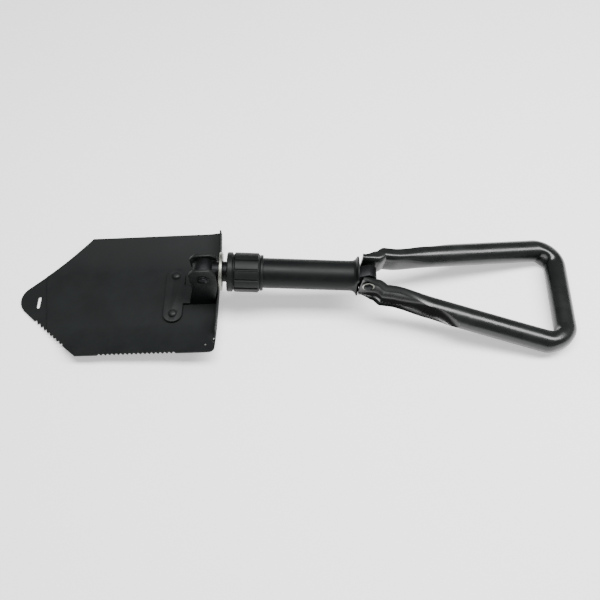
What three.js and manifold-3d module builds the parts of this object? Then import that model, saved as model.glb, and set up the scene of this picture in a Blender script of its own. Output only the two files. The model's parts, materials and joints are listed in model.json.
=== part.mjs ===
// A folding camp shovel with three sections: a dished blade on a cam hinge, a steel tube with a screw
// collar that locks the blade, and a D handle bent from one tube that folds back along the shaft.
// Millimetres. The shaft frame has its origin on the blade's hinge pin, +X along the shaft towards the
// handle, Y along both hinge pins and +Z on the side that the blade folds to. The finished model is
// turned a little about Y, so that the blade's tip and the grip both touch the ground at z = 0.
import * as THREE from 'three';
import { mergeVertices } from 'three/addons/utils/BufferGeometryUtils.js';
import Module from 'manifold-3d';

const wasm = await Module();
wasm.setup();

// ---- Driving dimensions ----
const GAP = 0.3; // between pieces that touch
const RUNNING = 0.1; // radial clearance of a pin that turns in its bore
const PRESSED = 0.2; // radial clearance of a pin that stays put
const THROUGH = 30; // half the length of a cutter that goes right through
const AROUND = 36; // sides of a large round piece
const AROUND_SMALL = 16; // sides of a rivet or a pin

const BLADE_DROOP = THREE.MathUtils.degToRad(6.8); // the loose blade hangs past straight
const HANDLE_DROOP = THREE.MathUtils.degToRad(7.9); // so does the handle

// Blade, in its own frame: origin on the hinge pin, +X towards the handle.
const SHEET = 1.8; // thickness of the pressed sheet
const BLADE_DROP = 44.6; // from the pin down to the middle of the sheet
const BLADE_HALF_WIDTH = 75.4;
const BLADE_REAR = 9.7; // x of the foot edge
const SHOULDER = -134.5; // x where the straight sides turn in to the point
const TIP = -207; // x of the point
const POINT_SLOPE = THREE.MathUtils.degToRad(42.6); // of the point's two edges to the X axis
const DISH_HEIGHT = 8.7; // how far the long edges stand above the flat middle
const DISH_START = 34; // |y| where the flat middle ends
const DISH_STEPS = 12;
const FOOT_FLANGE = 7.5; // the rear edge is turned up by this much
const FOOT_FLANGE_END = -56; // y where the flange stops on the toothed side
const TOOTH_DEPTH = 2.4;
const POINT_SKEW = 2.3; // the tip stands this far to the plain side of the middle line
const POINT_TEETH = { from: 39, to: 90, count: 9 }; // distances down the edge from the edges' apex
const SIDE_TEETH = { from: -111, to: -29, count: 18 }; // x along the straight side
const REAR_CORNER = 6; // the toothed side's rear corner is rounded off
const TIP_SLOT = { x: -186.5, y: -1.5, half: 6, radius: 1.7 }; // a short slot across the tip

// Hinge bracket, in the blade's frame.
const EAR_INNER = 8.4; // |y| of the ears' inner faces
const EAR_SHEET = 3;
const CAM_FLAT = 14; // from the pin to the cam's flats
const CAM_CORNER = 16.1; // radius of the cam's corners about the pin
const EAR_OUTER = EAR_INNER + EAR_SHEET;
const LOBE = { x: -38, y: 24, radius: 10 }; // the two riveted lobes
const RIVET = { shank: 2.5, hole: 2.8, head: 4.6, dome: 2.8, sunk: 0.1 };
const BASE_LOW = -BLADE_DROP + SHEET / 2 + GAP; // underside of the strip on the blade
const BASE_HIGH = BASE_LOW + EAR_SHEET;
const STRIP_FRONT = -30;
const STRIP_REAR = BLADE_REAR - SHEET - 0.8; // clear of the blade's flange
const PIN_RADIUS = 3; // of both hinge pins

// Shaft, in the shaft frame.
const EYE_RADIUS = 12.2;
const TONGUE_HALF = 7.8; // half the thickness of the front tongue
const NECK_RADIUS = 10.5;
const WASHER = { x: 16.4, thickness: 3.2, radius: 19.9 };
const COLLAR = { x: 24.2, end: 58.1, radius: 20.3, bore: 16.8, ribs: 12 };
const RETAINER = { x: 58.4, end: 61.2, radius: 18.6 };
const TUBE = { start: 28.3, end: 158.9, radius: 15.5, bore: 14, rim: 20.4 };
const THREAD = { start: 31, end: 51, pitch: 4, height: 0.9 }; // clear of the retainer's travel
const PLUG = { radius: TUBE.bore - 0.2, end: 60, hollow: 10.5, hollowStart: 33 }; // inside the tube
const PLUG_PIN = { x: 44, radius: 2.5, half: 15.2 };
const RIM_NOTCH = { y: 15.4, z: 14.8 }; // the rim is cut away here for the folded handle's arms

// Handle, in its own frame: origin on the handle's pin, +X towards the grip.
const HANDLE_PIN = { x: 169, z: 2.5 }; // in the shaft frame
const REAR_TONGUE = { half: 7, top: 8, bottom: -5.5, eye: 8.8, length: 50 };
const REAR_BUSH = { start: 138, end: 154 };
const DOWEL = { x: 146, radius: 1.6, low: -15.3, high: -8.4 };
const STOP_PIN = { x: 123, radius: 2, half: 11.5 };
const HANDLE_RADIUS = 11.8; // of the bent tube
const HANDLE_WALL = 1.3;
const GRIP = 208.5; // from the pin to the grip's middle line
const ARM_SLOPE = 0.205; // how fast the arms spread
const ARM_OFFSET = 19.8; // |y| of an arm's middle line, run back to the pin
const ARM_CLEAR = 25.5; // least |y| where the folded arms pass the tube and the collar
const BEND_RADIUS = 20;
const EAR_FRONT = -8; // x of the pressed ends
const PRESSED_END = { full: 72, none: 98 }; // x where the pressed channel starts to open, and is round
const CHANNEL = { web: 7.9, height: 12.6, halfWall: 1.7, halfBore: 0.15 };
const LIP = { atEars: 4.8, full: 10.2, flare: 3.8 }; // how far the channel's lips stand out from its web
const HANDLE_EAR_INNER = ARM_OFFSET + 0.2 - CHANNEL.web - CHANNEL.halfWall; // |y| of the ears' faces
const HANDLE_EAR_OUTER = HANDLE_EAR_INNER + 2 * CHANNEL.halfWall;
const SECTION_SIDES = 24; // round the bent tube
const SADDLE = { start: -7.5, end: 9, top: -8.4, bottom: -13, sheet: 1.7 };

// ---- Helpers ----

// A closed three.js geometry as a solid, with the faces that merging has collapsed left out.
function solid(geometry) {
  const bare = geometry.clone();
  bare.deleteAttribute('normal');
  bare.deleteAttribute('uv');
  const merged = mergeVertices(bare, 1e-4);
  const corners = merged.index.array;
  const kept = [];
  for (let i = 0; i < corners.length; i += 3) {
    const [a, b, c] = [corners[i], corners[i + 1], corners[i + 2]];
    if (a !== b && b !== c && c !== a) kept.push(a, b, c);
  }
  const vertProperties = merged.attributes.position.array;
  return new wasm.Manifold(new wasm.Mesh({ numProp: 3, vertProperties, triVerts: new Uint32Array(kept) }));
}

function geometryOf(body) {
  const mesh = body.getMesh();
  const geometry = new THREE.BufferGeometry();
  geometry.setAttribute('position', new THREE.BufferAttribute(mesh.vertProperties, 3));
  geometry.setIndex(new THREE.BufferAttribute(mesh.triVerts, 1));
  geometry.computeVertexNormals();
  return geometry;
}

const union = (...bodies) => bodies.reduce((whole, body) => whole.add(body));

// A turned piece along X. profile is a list of [x, radius] that goes from low to high x on the outside.
function turned(profile, sides = AROUND) {
  const points = profile.map(([x, radius]) => new THREE.Vector2(radius, x));
  return solid(new THREE.LatheGeometry(points, sides).rotateZ(-Math.PI / 2));
}

// A turned piece that lies along Y, from a profile of the same kind.
const turnedAlongY = (profile, sides) => turned(profile, sides).rotate([0, 0, 90]);

// A turned piece that stands along Z.
const turnedAlongZ = (profile, sides) => turned(profile, sides).rotate([0, -90, 0]);

const rod = (radius, from, to) => [[from, 0], [from, radius], [to, radius], [to, 0]];

// A cutter for a round hole right through, along Y or along Z.
const boreAlongY = (radius) => turnedAlongY(rod(radius, -THROUGH, THROUGH), AROUND_SMALL);

const boreAlongZ = (radius) => turnedAlongZ(rod(radius, -THROUGH, THROUGH), AROUND_SMALL);

function ring(inner, outer, from, to) {
  return [[from, inner], [from, outer], [to, outer], [to, inner], [from, inner]];
}

function shapeOf(points) {
  return new THREE.Shape(points.map(([a, b]) => new THREE.Vector2(a, b)));
}

function extruded(shape, depth, curveSegments) {
  return new THREE.ExtrudeGeometry(shape, { depth, bevelEnabled: false, curveSegments });
}

// A plan outline in X and Y, from z low to z high.
function slab(shape, low, high, curveSegments = 8) {
  return solid(extruded(shape, high - low, curveSegments).translate(0, 0, low));
}

// A side outline in X and Z, from y low to y high.
function cheek(shape, low, high, curveSegments = 8) {
  return solid(extruded(shape, high - low, curveSegments).rotateX(Math.PI / 2).translate(0, high, 0));
}

// A cross outline in Y and Z, from x low to x high.
function bar(shape, low, high, curveSegments = 8) {
  const geometry = extruded(shape, high - low, curveSegments);
  return solid(geometry.rotateX(Math.PI / 2).rotateZ(Math.PI / 2).translate(low, 0, 0));
}

function block([x0, y0, z0], [x1, y1, z1]) {
  const geometry = new THREE.BoxGeometry(x1 - x0, y1 - y0, z1 - z0);
  return solid(geometry.translate((x0 + x1) / 2, (y0 + y1) / 2, (z0 + z1) / 2));
}

const smooth = (value, from, to) => THREE.MathUtils.smoothstep(value, from, to);

// ---- Materials ----
const paint = (color, roughness) => new THREE.MeshStandardMaterial({ color, roughness, metalness: 0.1 });
const steel = (color, roughness) => new THREE.MeshStandardMaterial({ color, roughness, metalness: 1 });
const BLADE_PAINT = paint(0x292c2e, 0.75);
const TUBE_PAINT = paint(0x1d2122, 0.4);
const HANDLE_PAINT = paint(0x24282a, 0.3);
const COLLAR_PAINT = paint(0x262a29, 0.45);
const BARE_STEEL = steel(0x8b8f8a, 0.35);
const DARK_STEEL = steel(0x3c4042, 0.5);

function addMesh(parent, name, body, material) {
  const mesh = new THREE.Mesh(geometryOf(body), material.clone());
  mesh.name = name;
  parent.add(mesh);
}

// ---- Blade ----

// Height of the sheet's middle above its flat part.
function dish(y) {
  const past = Math.max(0, (Math.abs(y) - DISH_START) / (BLADE_HALF_WIDTH - DISH_START));
  return DISH_HEIGHT * past ** 1.7;
}

// The dished cross section, thickened downwards by half a sheet and upwards by `above`.
function dishedSection(above, from, to) {
  const step = (BLADE_HALF_WIDTH + 5 - DISH_START) / DISH_STEPS;
  const curve = Array.from({ length: DISH_STEPS + 1 }, (_, i) => DISH_START + step * i);
  const inside = [...curve.map((y) => -y).reverse(), ...curve].filter((y) => y > from && y < to);
  const across = [from, ...inside, to];
  const top = across.map((y) => [y, dish(y) - BLADE_DROP + above]);
  const bottom = across.map((y) => [y, dish(y) - BLADE_DROP - SHEET / 2]);
  return shapeOf([...bottom, ...top.reverse()]);
}

// Slanted saw teeth cut into the straight edge from a to b; out is the edge's outward normal.
function teeth(a, b, out, count) {
  const points = [];
  const step = new THREE.Vector2().subVectors(b, a).divideScalar(count);
  for (let i = 0; i < count; i++) {
    const start = a.clone().addScaledVector(step, i);
    const root = start.clone().addScaledVector(step, 0.3).addScaledVector(out, -TOOTH_DEPTH);
    points.push(start, root);
  }
  points.push(b.clone());
  return points;
}

// Shifts the point of the blade sideways, more and more from the shoulders to the tip.
function skewed({ x, y }) {
  return [x, y + (POINT_SKEW * Math.max(0, SHOULDER - x)) / (SHOULDER - TIP)];
}

function bladeOutline() {
  const cos = Math.cos(POINT_SLOPE);
  const sin = Math.sin(POINT_SLOPE);
  const apex = SHOULDER - (BLADE_HALF_WIDTH * cos) / sin;
  const nose = (sin * (TIP - apex)) / (1 - sin); // radius that touches both edges at the tip
  const along = new THREE.Vector2(cos, -sin); // down the toothed edge of the point
  const onPoint = (distance) => new THREE.Vector2(apex, 0).addScaledVector(along, distance);
  const onSide = (x) => new THREE.Vector2(x, -BLADE_HALF_WIDTH);
  const cut = (edge, { from, to, count }, out) => teeth(edge(from), edge(to), out, count);
  const bay = cut(onPoint, POINT_TEETH, new THREE.Vector2(-sin, -cos));
  const side = cut(onSide, SIDE_TEETH, new THREE.Vector2(0, -1));
  const shape = new THREE.Shape();
  shape.moveTo(BLADE_REAR, BLADE_HALF_WIDTH - 2);
  shape.quadraticCurveTo(BLADE_REAR, BLADE_HALF_WIDTH, BLADE_REAR - 2, BLADE_HALF_WIDTH);
  shape.lineTo(SHOULDER, BLADE_HALF_WIDTH);
  shape.absarc(TIP + nose, 0, nose, Math.PI / 2 + POINT_SLOPE, (Math.PI * 3) / 2 - POINT_SLOPE, false);
  [...bay, onSide(SHOULDER), ...side].forEach((p) => shape.lineTo(p.x, p.y));
  shape.lineTo(BLADE_REAR - REAR_CORNER, -BLADE_HALF_WIDTH);
  shape.quadraticCurveTo(BLADE_REAR, -BLADE_HALF_WIDTH, BLADE_REAR, -BLADE_HALF_WIDTH + REAR_CORNER);
  shape.closePath();
  return shapeOf(shape.getPoints(6).map(skewed));
}

function tipSlot() {
  const { x, y, half, radius } = TIP_SLOT;
  const shape = new THREE.Shape();
  shape.absarc(x, y + half, radius, 0, Math.PI, false);
  shape.absarc(x, y - half, radius, Math.PI, Math.PI * 2, false);
  shape.closePath();
  return shape;
}

function makeBlade() {
  const sheet = bar(dishedSection(SHEET / 2, -80, 80), TIP - 5, BLADE_REAR + 5);
  const outline = slab(bladeOutline(), -BLADE_DROP - 10, 0);
  const flangeSection = dishedSection(SHEET / 2 + FOOT_FLANGE, FOOT_FLANGE_END, BLADE_HALF_WIDTH - 0.5);
  const flange = bar(flangeSection, BLADE_REAR - SHEET, BLADE_REAR);
  const slot = slab(tipSlot(), -BLADE_DROP - 10, 0);
  const holes = [-1, 1].map((side) => rivetHole(side));
  return union(sheet.intersect(outline), flange).subtract(union(slot, ...holes));
}

// ---- Hinge bracket and its rivets ----
const rivetHole = (side) => boreAlongZ(RIVET.hole).translate([LOBE.x, side * LOBE.y, -BLADE_DROP]);

function makeRivet(side) {
  const { shank, head, dome, sunk } = RIVET;
  const top = BASE_HIGH + GAP;
  const under = -BLADE_DROP - SHEET / 2 + sunk;
  const profile = [
    [under, 0], [under, shank], [top, shank], [top, head],
    [top + dome * 0.46, head * 0.91], [top + dome * 0.82, head * 0.6], [top + dome, 0],
  ];
  return turnedAlongZ(profile, AROUND_SMALL).translate([LOBE.x, side * LOBE.y, 0]);
}

// One ear: a cam with three flats and round corners, over a foot that widens towards the blade. The
// foot's front edge stays behind the folded cam's reach, so it clears the pressed-up washer.
function earOutline() {
  const quarter = Math.PI / 2;
  const flatEnd = Math.acos(CAM_FLAT / CAM_CORNER);
  const shape = new THREE.Shape();
  shape.moveTo(STRIP_REAR, BASE_LOW);
  shape.lineTo(STRIP_REAR, BASE_LOW + 7);
  shape.lineTo(12.5, -16);
  shape.lineTo(CAM_FLAT, -CAM_CORNER * Math.sin(flatEnd));
  shape.absarc(0, 0, CAM_CORNER, flatEnd, quarter - flatEnd, false);
  shape.absarc(0, 0, CAM_CORNER, quarter + flatEnd, 2 * quarter - flatEnd, false);
  shape.lineTo(-CAM_FLAT, -4.5);
  shape.lineTo(-13, -6);
  shape.lineTo(-14.7, -20.3);
  shape.lineTo(-20, BASE_HIGH + 2);
  shape.lineTo(-20, BASE_LOW);
  shape.closePath();
  return shape;
}

function makeBracket() {
  const ears = [
    cheek(earOutline(), EAR_INNER, EAR_OUTER),
    cheek(earOutline(), -EAR_OUTER, -EAR_INNER),
  ];
  const strip = block([STRIP_FRONT, -EAR_OUTER, BASE_LOW], [STRIP_REAR, EAR_OUTER, BASE_HIGH]);
  const plan = new THREE.Shape();
  plan.absarc(LOBE.x, LOBE.y, LOBE.radius, 0, Math.PI, false);
  plan.absarc(LOBE.x, -LOBE.y, LOBE.radius, Math.PI, Math.PI * 2, false);
  plan.closePath();
  const lobes = slab(plan, BASE_LOW, BASE_HIGH, 12);
  const cutters = union(boreAlongY(PIN_RADIUS + RUNNING), rivetHole(-1), rivetHole(1));
  return union(lobes, strip, ...ears).subtract(cutters);
}

// A headed pin along Y: a plain shank and a low dome at each end.
function headedPin(radius, half, headRadius, headHeight) {
  const end = half + headHeight;
  const bulge = [half + headHeight * 0.6, headRadius * 0.85];
  const top = [[half, headRadius], bulge, [end, headRadius * 0.4], [end, 0]];
  const mirrored = [...top].reverse().map(([y, r]) => [-y, r]);
  return turnedAlongY([...mirrored, [-half, radius], [half, radius], ...top], AROUND_SMALL);
}

function washerOn(side, inner, outer, from, thickness) {
  const [low, high] = side > 0 ? [from, from + thickness] : [-from - thickness, -from];
  return turnedAlongY(ring(inner, outer, low, high), AROUND_SMALL);
}

// ---- Shaft ----

// The front tongue: an eye for the hinge pin, the round neck that the washer slides on, and the plug.
function makeHingeTongue() {
  const eyeEnd = 13;
  const eye = new THREE.Shape();
  eye.absarc(0, 0, EYE_RADIUS, Math.PI / 4, (Math.PI * 7) / 4, false);
  eye.lineTo(eyeEnd, -EYE_RADIUS * Math.SQRT1_2);
  eye.lineTo(eyeEnd, EYE_RADIUS * Math.SQRT1_2);
  eye.closePath();
  const { radius, end, hollow, hollowStart } = PLUG;
  const neckStart = 9;
  const neckEnd = TUBE.start + 1;
  const stem = turned([
    [neckStart, 0], [neckStart, NECK_RADIUS], [neckEnd, NECK_RADIUS], [neckEnd, radius],
    [end - 2, radius], [end, radius - 1.8], [end, hollow], [hollowStart, hollow], [hollowStart, 0],
  ]);
  const clear = CAM_CORNER + GAP; // the ears' corners turn past the flat sides
  const [low, high] = [neckStart - 4, NECK_RADIUS + 5];
  const flats = [
    block([low, TONGUE_HALF, -high], [clear, high, high]),
    block([low, -high, -high], [clear, -TONGUE_HALF, high]),
  ];
  const pinHole = boreAlongY(PLUG_PIN.radius + PRESSED).translate([PLUG_PIN.x, 0, 0]);
  const body = union(cheek(eye, -TONGUE_HALF, TONGUE_HALF, 10), stem.subtract(union(...flats)));
  return body.subtract(union(boreAlongY(PIN_RADIUS + RUNNING), pinHole));
}

// The hole for the rear bush's dowel, from below up to the draw bar's slide.
function dowelHole() {
  const reach = rod(DOWEL.radius + PRESSED, -THROUGH, DOWEL.high + PRESSED);
  return turnedAlongZ(reach, AROUND_SMALL).translate([DOWEL.x, 0, 0]);
}

function makeTube() {
  const { radius, bore, rim, start, end } = TUBE;
  const thread = [];
  for (let x = THREAD.start; x < THREAD.end; x += THREAD.pitch) {
    thread.push([x, radius], [x + THREAD.pitch * 0.5, radius + THREAD.height]);
  }
  const profile = [
    [start, bore], [start, radius - 0.6], [start + 0.8, radius], ...thread, [THREAD.end + 0.4, radius],
    [end - 9, radius], [end - 5.6, radius + 0.3], [end - 3.2, radius + 1.6], [end - 1.8, rim - 1.2],
    [end - 1.5, rim], [end, rim], [end, rim - 1.2], [end - 1.4, rim - 3], [end - 3.6, bore + 1],
    [end - 6, bore], [start, bore],
  ];
  const notches = [-1, 1].map((side) => {
    const [low, high] = side > 0 ? [RIM_NOTCH.y, rim + 5] : [-rim - 5, -RIM_NOTCH.y];
    return block([end - 10, low, -RIM_NOTCH.z], [end + 1, high, RIM_NOTCH.z]);
  });
  const pinHole = boreAlongY(PLUG_PIN.radius + PRESSED).translate([PLUG_PIN.x, 0, 0]);
  return turned(profile).subtract(union(...notches, pinHole, dowelHole()));
}

// ---- Lock ----
function makeCollar() {
  const { x, end, radius, bore, ribs } = COLLAR;
  const core = radius - 1.1;
  const body = turned([
    [x, NECK_RADIUS + 0.5], [x, radius - 1.2], [x + 1.2, radius], [x + 6, radius], [x + 6.5, core - 0.6],
    [x + 7.3, core - 0.6], [x + 7.7, core], [end - 1.2, core], [end, core - 0.8], [end, bore],
    [x + 3, bore], [x + 3, NECK_RADIUS + 0.5], [x, NECK_RADIUS + 0.5],
  ]);
  const pitch = (Math.PI * 2) / ribs;
  const half = pitch * 0.41;
  const steps = 4;
  const pads = Array.from({ length: ribs }, (_, i) => {
    const middle = (i + 0.5) * pitch;
    const arc = Array.from({ length: steps + 1 }, (__, k) => middle - half + (2 * half * k) / steps);
    const at = (r) => (angle) => [r * Math.cos(angle), r * Math.sin(angle)];
    return bar(shapeOf([...arc.map(at(radius)), ...arc.reverse().map(at(core - 0.8))]), x + 8, end - 1.6);
  });
  return union(body, ...pads);
}

function makeRetainer() {
  const { x, end, radius } = RETAINER;
  const inner = TUBE.radius + 0.35;
  return turned([
    [x, inner], [x, radius], [end - 1.4, radius], [end, radius - 1.2], [end, inner], [x, inner],
  ]);
}

function makeWasher() {
  const { x, thickness, radius } = WASHER;
  const inner = NECK_RADIUS + 0.4;
  const end = x + thickness;
  return turned([
    [x, inner], [x, radius - 0.6], [x + 0.6, radius], [end - 0.6, radius], [end, radius - 0.6], [end, inner],
    [x, inner],
  ]);
}

// ---- Rear hinge ----

// The flat draw bar with the handle's eye, in the shaft frame.
function makeRearTongue() {
  const { half, top, bottom, eye, length } = REAR_TONGUE;
  const { x, z } = HANDLE_PIN;
  const side = new THREE.Shape();
  side.moveTo(x - length, bottom);
  side.lineTo(x - 5, bottom);
  side.absarc(x, z, eye, -Math.PI / 2, Math.PI / 2, false);
  side.lineTo(x - 9, top);
  side.lineTo(x - length, top);
  side.closePath();
  const bore = boreAlongY(PIN_RADIUS + RUNNING).translate([x, 0, z]);
  const pinHole = boreAlongZ(STOP_PIN.radius + PRESSED).translate([STOP_PIN.x, 0, 0]);
  return cheek(side, -half, half, 10).subtract(union(bore, pinHole));
}

function makeRearBush() {
  const { start, end } = REAR_BUSH;
  const { half, top, bottom } = REAR_TONGUE;
  const slide = block([start - 1, -half - GAP, bottom - GAP], [end + 1, half + GAP, top + GAP]);
  return turned(rod(TUBE.bore - 0.2, start, end)).subtract(union(slide, dowelHole()));
}

// ---- Handle ----

// |y| of the middle line of an arm at x: pinched in at the ears, then clear of the tube, then straight.
function armHalfSpread(x) {
  const straight = ARM_OFFSET + ARM_SLOPE * x;
  const atEars = ARM_OFFSET + 0.2;
  const [earEnd, full] = [7, 15];
  if (x < full) return atEars + (ARM_CLEAR - atEars) * smooth(x, earEnd, full);
  return Math.max(ARM_CLEAR, straight);
}

// Stations along one half of the handle, from an ear's end to the middle of the grip.
function halfPath() {
  const stations = [];
  const armXs = [EAR_FRONT, -3, 2, 7, 9, 11, 13, 15, 20, 27, 40, 56, 70, 76, 82, 88, 93, 98, 140];
  const slope = Math.atan(ARM_SLOPE);
  const centre = new THREE.Vector2(GRIP - BEND_RADIUS, 0);
  const tangentX = centre.x - BEND_RADIUS * Math.sin(slope);
  centre.y = ARM_OFFSET + ARM_SLOPE * tangentX - BEND_RADIUS * Math.cos(slope);
  armXs.forEach((x) => stations.push(new THREE.Vector2(x, armHalfSpread(x))));
  const steps = 8;
  for (let i = 0; i <= steps; i++) {
    const angle = (Math.PI / 2 + slope) * (1 - i / steps);
    const spoke = new THREE.Vector2(Math.cos(angle), Math.sin(angle)).multiplyScalar(BEND_RADIUS);
    stations.push(spoke.add(centre));
  }
  stations.push(new THREE.Vector2(GRIP, 0));
  return stations;
}

// The pressed channel at angle a round the tube: the point on its middle line and the wall's normal.
// The superellipse has its web towards the inside of the handle and its lips pointing out.
function channelPoint(angle, lip) {
  const { web, height } = CHANNEL;
  const up = Math.sin(angle);
  const power = 0.5;
  const bend = Math.abs(Math.cos(angle)) ** power;
  const point = new THREE.Vector2(-web + lip * (1 - bend), height * Math.sign(up) * Math.abs(up) ** power);
  const towardsLips = Math.min(1, Math.abs(point.y) / height) ** 3;
  const normal = new THREE.Vector2(1, -Math.sign(up) * towardsLips).normalize();
  return { point, normal };
}

// Moves a point of the round section to the pressed one; weight 0 is round and 1 is fully pressed.
function pressed(a, b, weight, lip) {
  const angle = Math.atan2(b, a);
  const onBore = Math.hypot(a, b) < HANDLE_RADIUS - HANDLE_WALL / 2;
  const { point, normal } = channelPoint(angle, lip);
  const reach = (onBore ? CHANNEL.halfBore : CHANNEL.halfWall) * Math.sign(Math.cos(angle));
  const taper = Math.sqrt(Math.max(0, 1 - Math.sin(angle) ** 8));
  const shrink = onBore ? 0.9 : 1;
  const flat = new THREE.Vector2(point.x, point.y * shrink).addScaledVector(normal, reach * taper);
  return new THREE.Vector2(a, b).lerp(flat, weight);
}

// How far the lips stand out at x: little at the ears' ends, and most where the channel meets the tube.
function lipReach(x) {
  return THREE.MathUtils.lerp(LIP.atEars, LIP.full, smooth(x, -6, 8)) + LIP.flare * smooth(x, 40, 80);
}

// A straight tube with one step per station, bent along the path and pressed near its ends.
function makeHandleTube() {
  const half = halfPath();
  const mirrored = half.slice(0, -1).reverse().map((p) => new THREE.Vector2(p.x, -p.y));
  const path = [...half, ...mirrored];
  const count = path.length - 1;
  const profile = new THREE.Shape().absarc(0, 0, HANDLE_RADIUS, 0, Math.PI * 2, false);
  profile.holes.push(new THREE.Path().absarc(0, 0, HANDLE_RADIUS - HANDLE_WALL, 0, Math.PI * 2, true));
  const options = { depth: count, steps: count, bevelEnabled: false, curveSegments: SECTION_SIDES / 2 };
  const geometry = new THREE.ExtrudeGeometry(profile, options);
  const position = geometry.getAttribute('position');
  for (let i = 0; i < position.count; i++) {
    const k = Math.round(position.getZ(i));
    const here = path[k];
    const before = path[Math.max(0, k - 1)];
    const after = path[Math.min(count, k + 1)];
    const along = new THREE.Vector2().subVectors(after, before).normalize();
    if (k === 0 || k === count) along.set(Math.sign(along.x), 0);
    const outward = new THREE.Vector2(-along.y, along.x);
    const weight = 1 - smooth(here.x, PRESSED_END.full, PRESSED_END.none);
    const { x: out, y: up } = pressed(position.getX(i), position.getY(i), weight, lipReach(here.x));
    position.setXYZ(i, here.x + outward.x * out, here.y + outward.y * out, up);
  }
  return solid(geometry).subtract(boreAlongY(PIN_RADIUS + RUNNING));
}

// The curved strip that ties the two ears together under the tongue.
function makeSaddle() {
  const half = HANDLE_EAR_INNER - GAP;
  const { top, bottom, sheet } = SADDLE;
  const section = new THREE.Shape();
  section.moveTo(-half, top);
  section.quadraticCurveTo(-half + 1, bottom, 0, bottom);
  section.quadraticCurveTo(half - 1, bottom, half, top);
  section.lineTo(half - sheet, top);
  section.quadraticCurveTo(half - 3, bottom + sheet, 0, bottom + sheet);
  section.quadraticCurveTo(-half + 3, bottom + sheet, -half + sheet, top);
  section.closePath();
  return bar(section, SADDLE.start, SADDLE.end);
}

// ---- Assembly ----
const shaft = new THREE.Group();

addMesh(shaft, 'shaft_tube', makeTube(), TUBE_PAINT);
addMesh(shaft, 'hinge_tongue', makeHingeTongue(), DARK_STEEL);
const plugPin = turnedAlongY(rod(PLUG_PIN.radius, -PLUG_PIN.half, PLUG_PIN.half), AROUND_SMALL);
addMesh(shaft, 'tongue_plug_pin', plugPin.translate([PLUG_PIN.x, 0, 0]), BARE_STEEL);
addMesh(shaft, 'lock_washer', makeWasher(), BARE_STEEL);
addMesh(shaft, 'lock_collar', makeCollar(), COLLAR_PAINT);
addMesh(shaft, 'collar_retainer_ring', makeRetainer(), COLLAR_PAINT);
addMesh(shaft, 'rear_bush', makeRearBush(), DARK_STEEL);
const dowel = turnedAlongZ(rod(DOWEL.radius, DOWEL.low, DOWEL.high), AROUND_SMALL);
addMesh(shaft, 'rear_bush_dowel', dowel.translate([DOWEL.x, 0, 0]), BARE_STEEL);
addMesh(shaft, 'handle_tongue', makeRearTongue(), DARK_STEEL);
const stopPin = turnedAlongZ(rod(STOP_PIN.radius, -STOP_PIN.half, STOP_PIN.half), AROUND_SMALL);
addMesh(shaft, 'tongue_stop_pin', stopPin.translate([STOP_PIN.x, 0, 0]), BARE_STEEL);

const bladeGroup = new THREE.Group();
bladeGroup.rotation.y = -BLADE_DROOP;
shaft.add(bladeGroup);
addMesh(bladeGroup, 'blade', makeBlade(), BLADE_PAINT);
addMesh(bladeGroup, 'hinge_bracket', makeBracket(), BLADE_PAINT);
addMesh(bladeGroup, 'blade_hinge_pin', headedPin(PIN_RADIUS, EAR_OUTER + 1.4, 4.6, 2), BARE_STEEL);
for (const [name, side] of [['near', -1], ['far', 1]]) {
  const washer = washerOn(side, PIN_RADIUS + PRESSED, 6, EAR_OUTER + 0.2, 1);
  addMesh(bladeGroup, `blade_pin_washer_${name}`, washer, DARK_STEEL);
  addMesh(bladeGroup, `bracket_rivet_${name}`, makeRivet(side), BLADE_PAINT);
}

const handleGroup = new THREE.Group();
handleGroup.position.set(HANDLE_PIN.x, 0, HANDLE_PIN.z);
handleGroup.rotation.y = HANDLE_DROOP;
shaft.add(handleGroup);
addMesh(handleGroup, 'handle_tube', makeHandleTube(), HANDLE_PAINT);
addMesh(handleGroup, 'handle_saddle', makeSaddle(), HANDLE_PAINT);
addMesh(handleGroup, 'handle_hinge_pin', headedPin(PIN_RADIUS, HANDLE_EAR_OUTER + 1.9, 5, 2.4), DARK_STEEL);
for (const [name, side] of [['near', -1], ['far', 1]]) {
  const washer = washerOn(side, PIN_RADIUS + PRESSED, 6.4, HANDLE_EAR_OUTER + 0.6, 1);
  addMesh(handleGroup, `handle_pin_washer_${name}`, washer, BARE_STEEL);
}

// Lay the shovel down: its tip and the underside of its grip touch the ground.
const tip = new THREE.Vector2(TIP, -BLADE_DROP - SHEET / 2).rotateAround(new THREE.Vector2(), BLADE_DROOP);
const gripMiddle = new THREE.Vector2(GRIP, 0).rotateAround(new THREE.Vector2(), -HANDLE_DROOP);
gripMiddle.add(new THREE.Vector2(HANDLE_PIN.x, HANDLE_PIN.z));
const reach = new THREE.Vector2().subVectors(gripMiddle, tip);
shaft.rotation.y = reach.angle() - Math.asin(HANDLE_RADIUS / reach.length());

const group = new THREE.Group();
group.add(shaft);
group.updateMatrixWorld(true);
const box = new THREE.Box3().setFromObject(group, true);
shaft.position.set(-(box.min.x + box.max.x) / 2, 0, -box.min.z);

export default group;
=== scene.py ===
import json
import math

import bmesh
import bpy
from mathutils import Matrix, Vector


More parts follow.
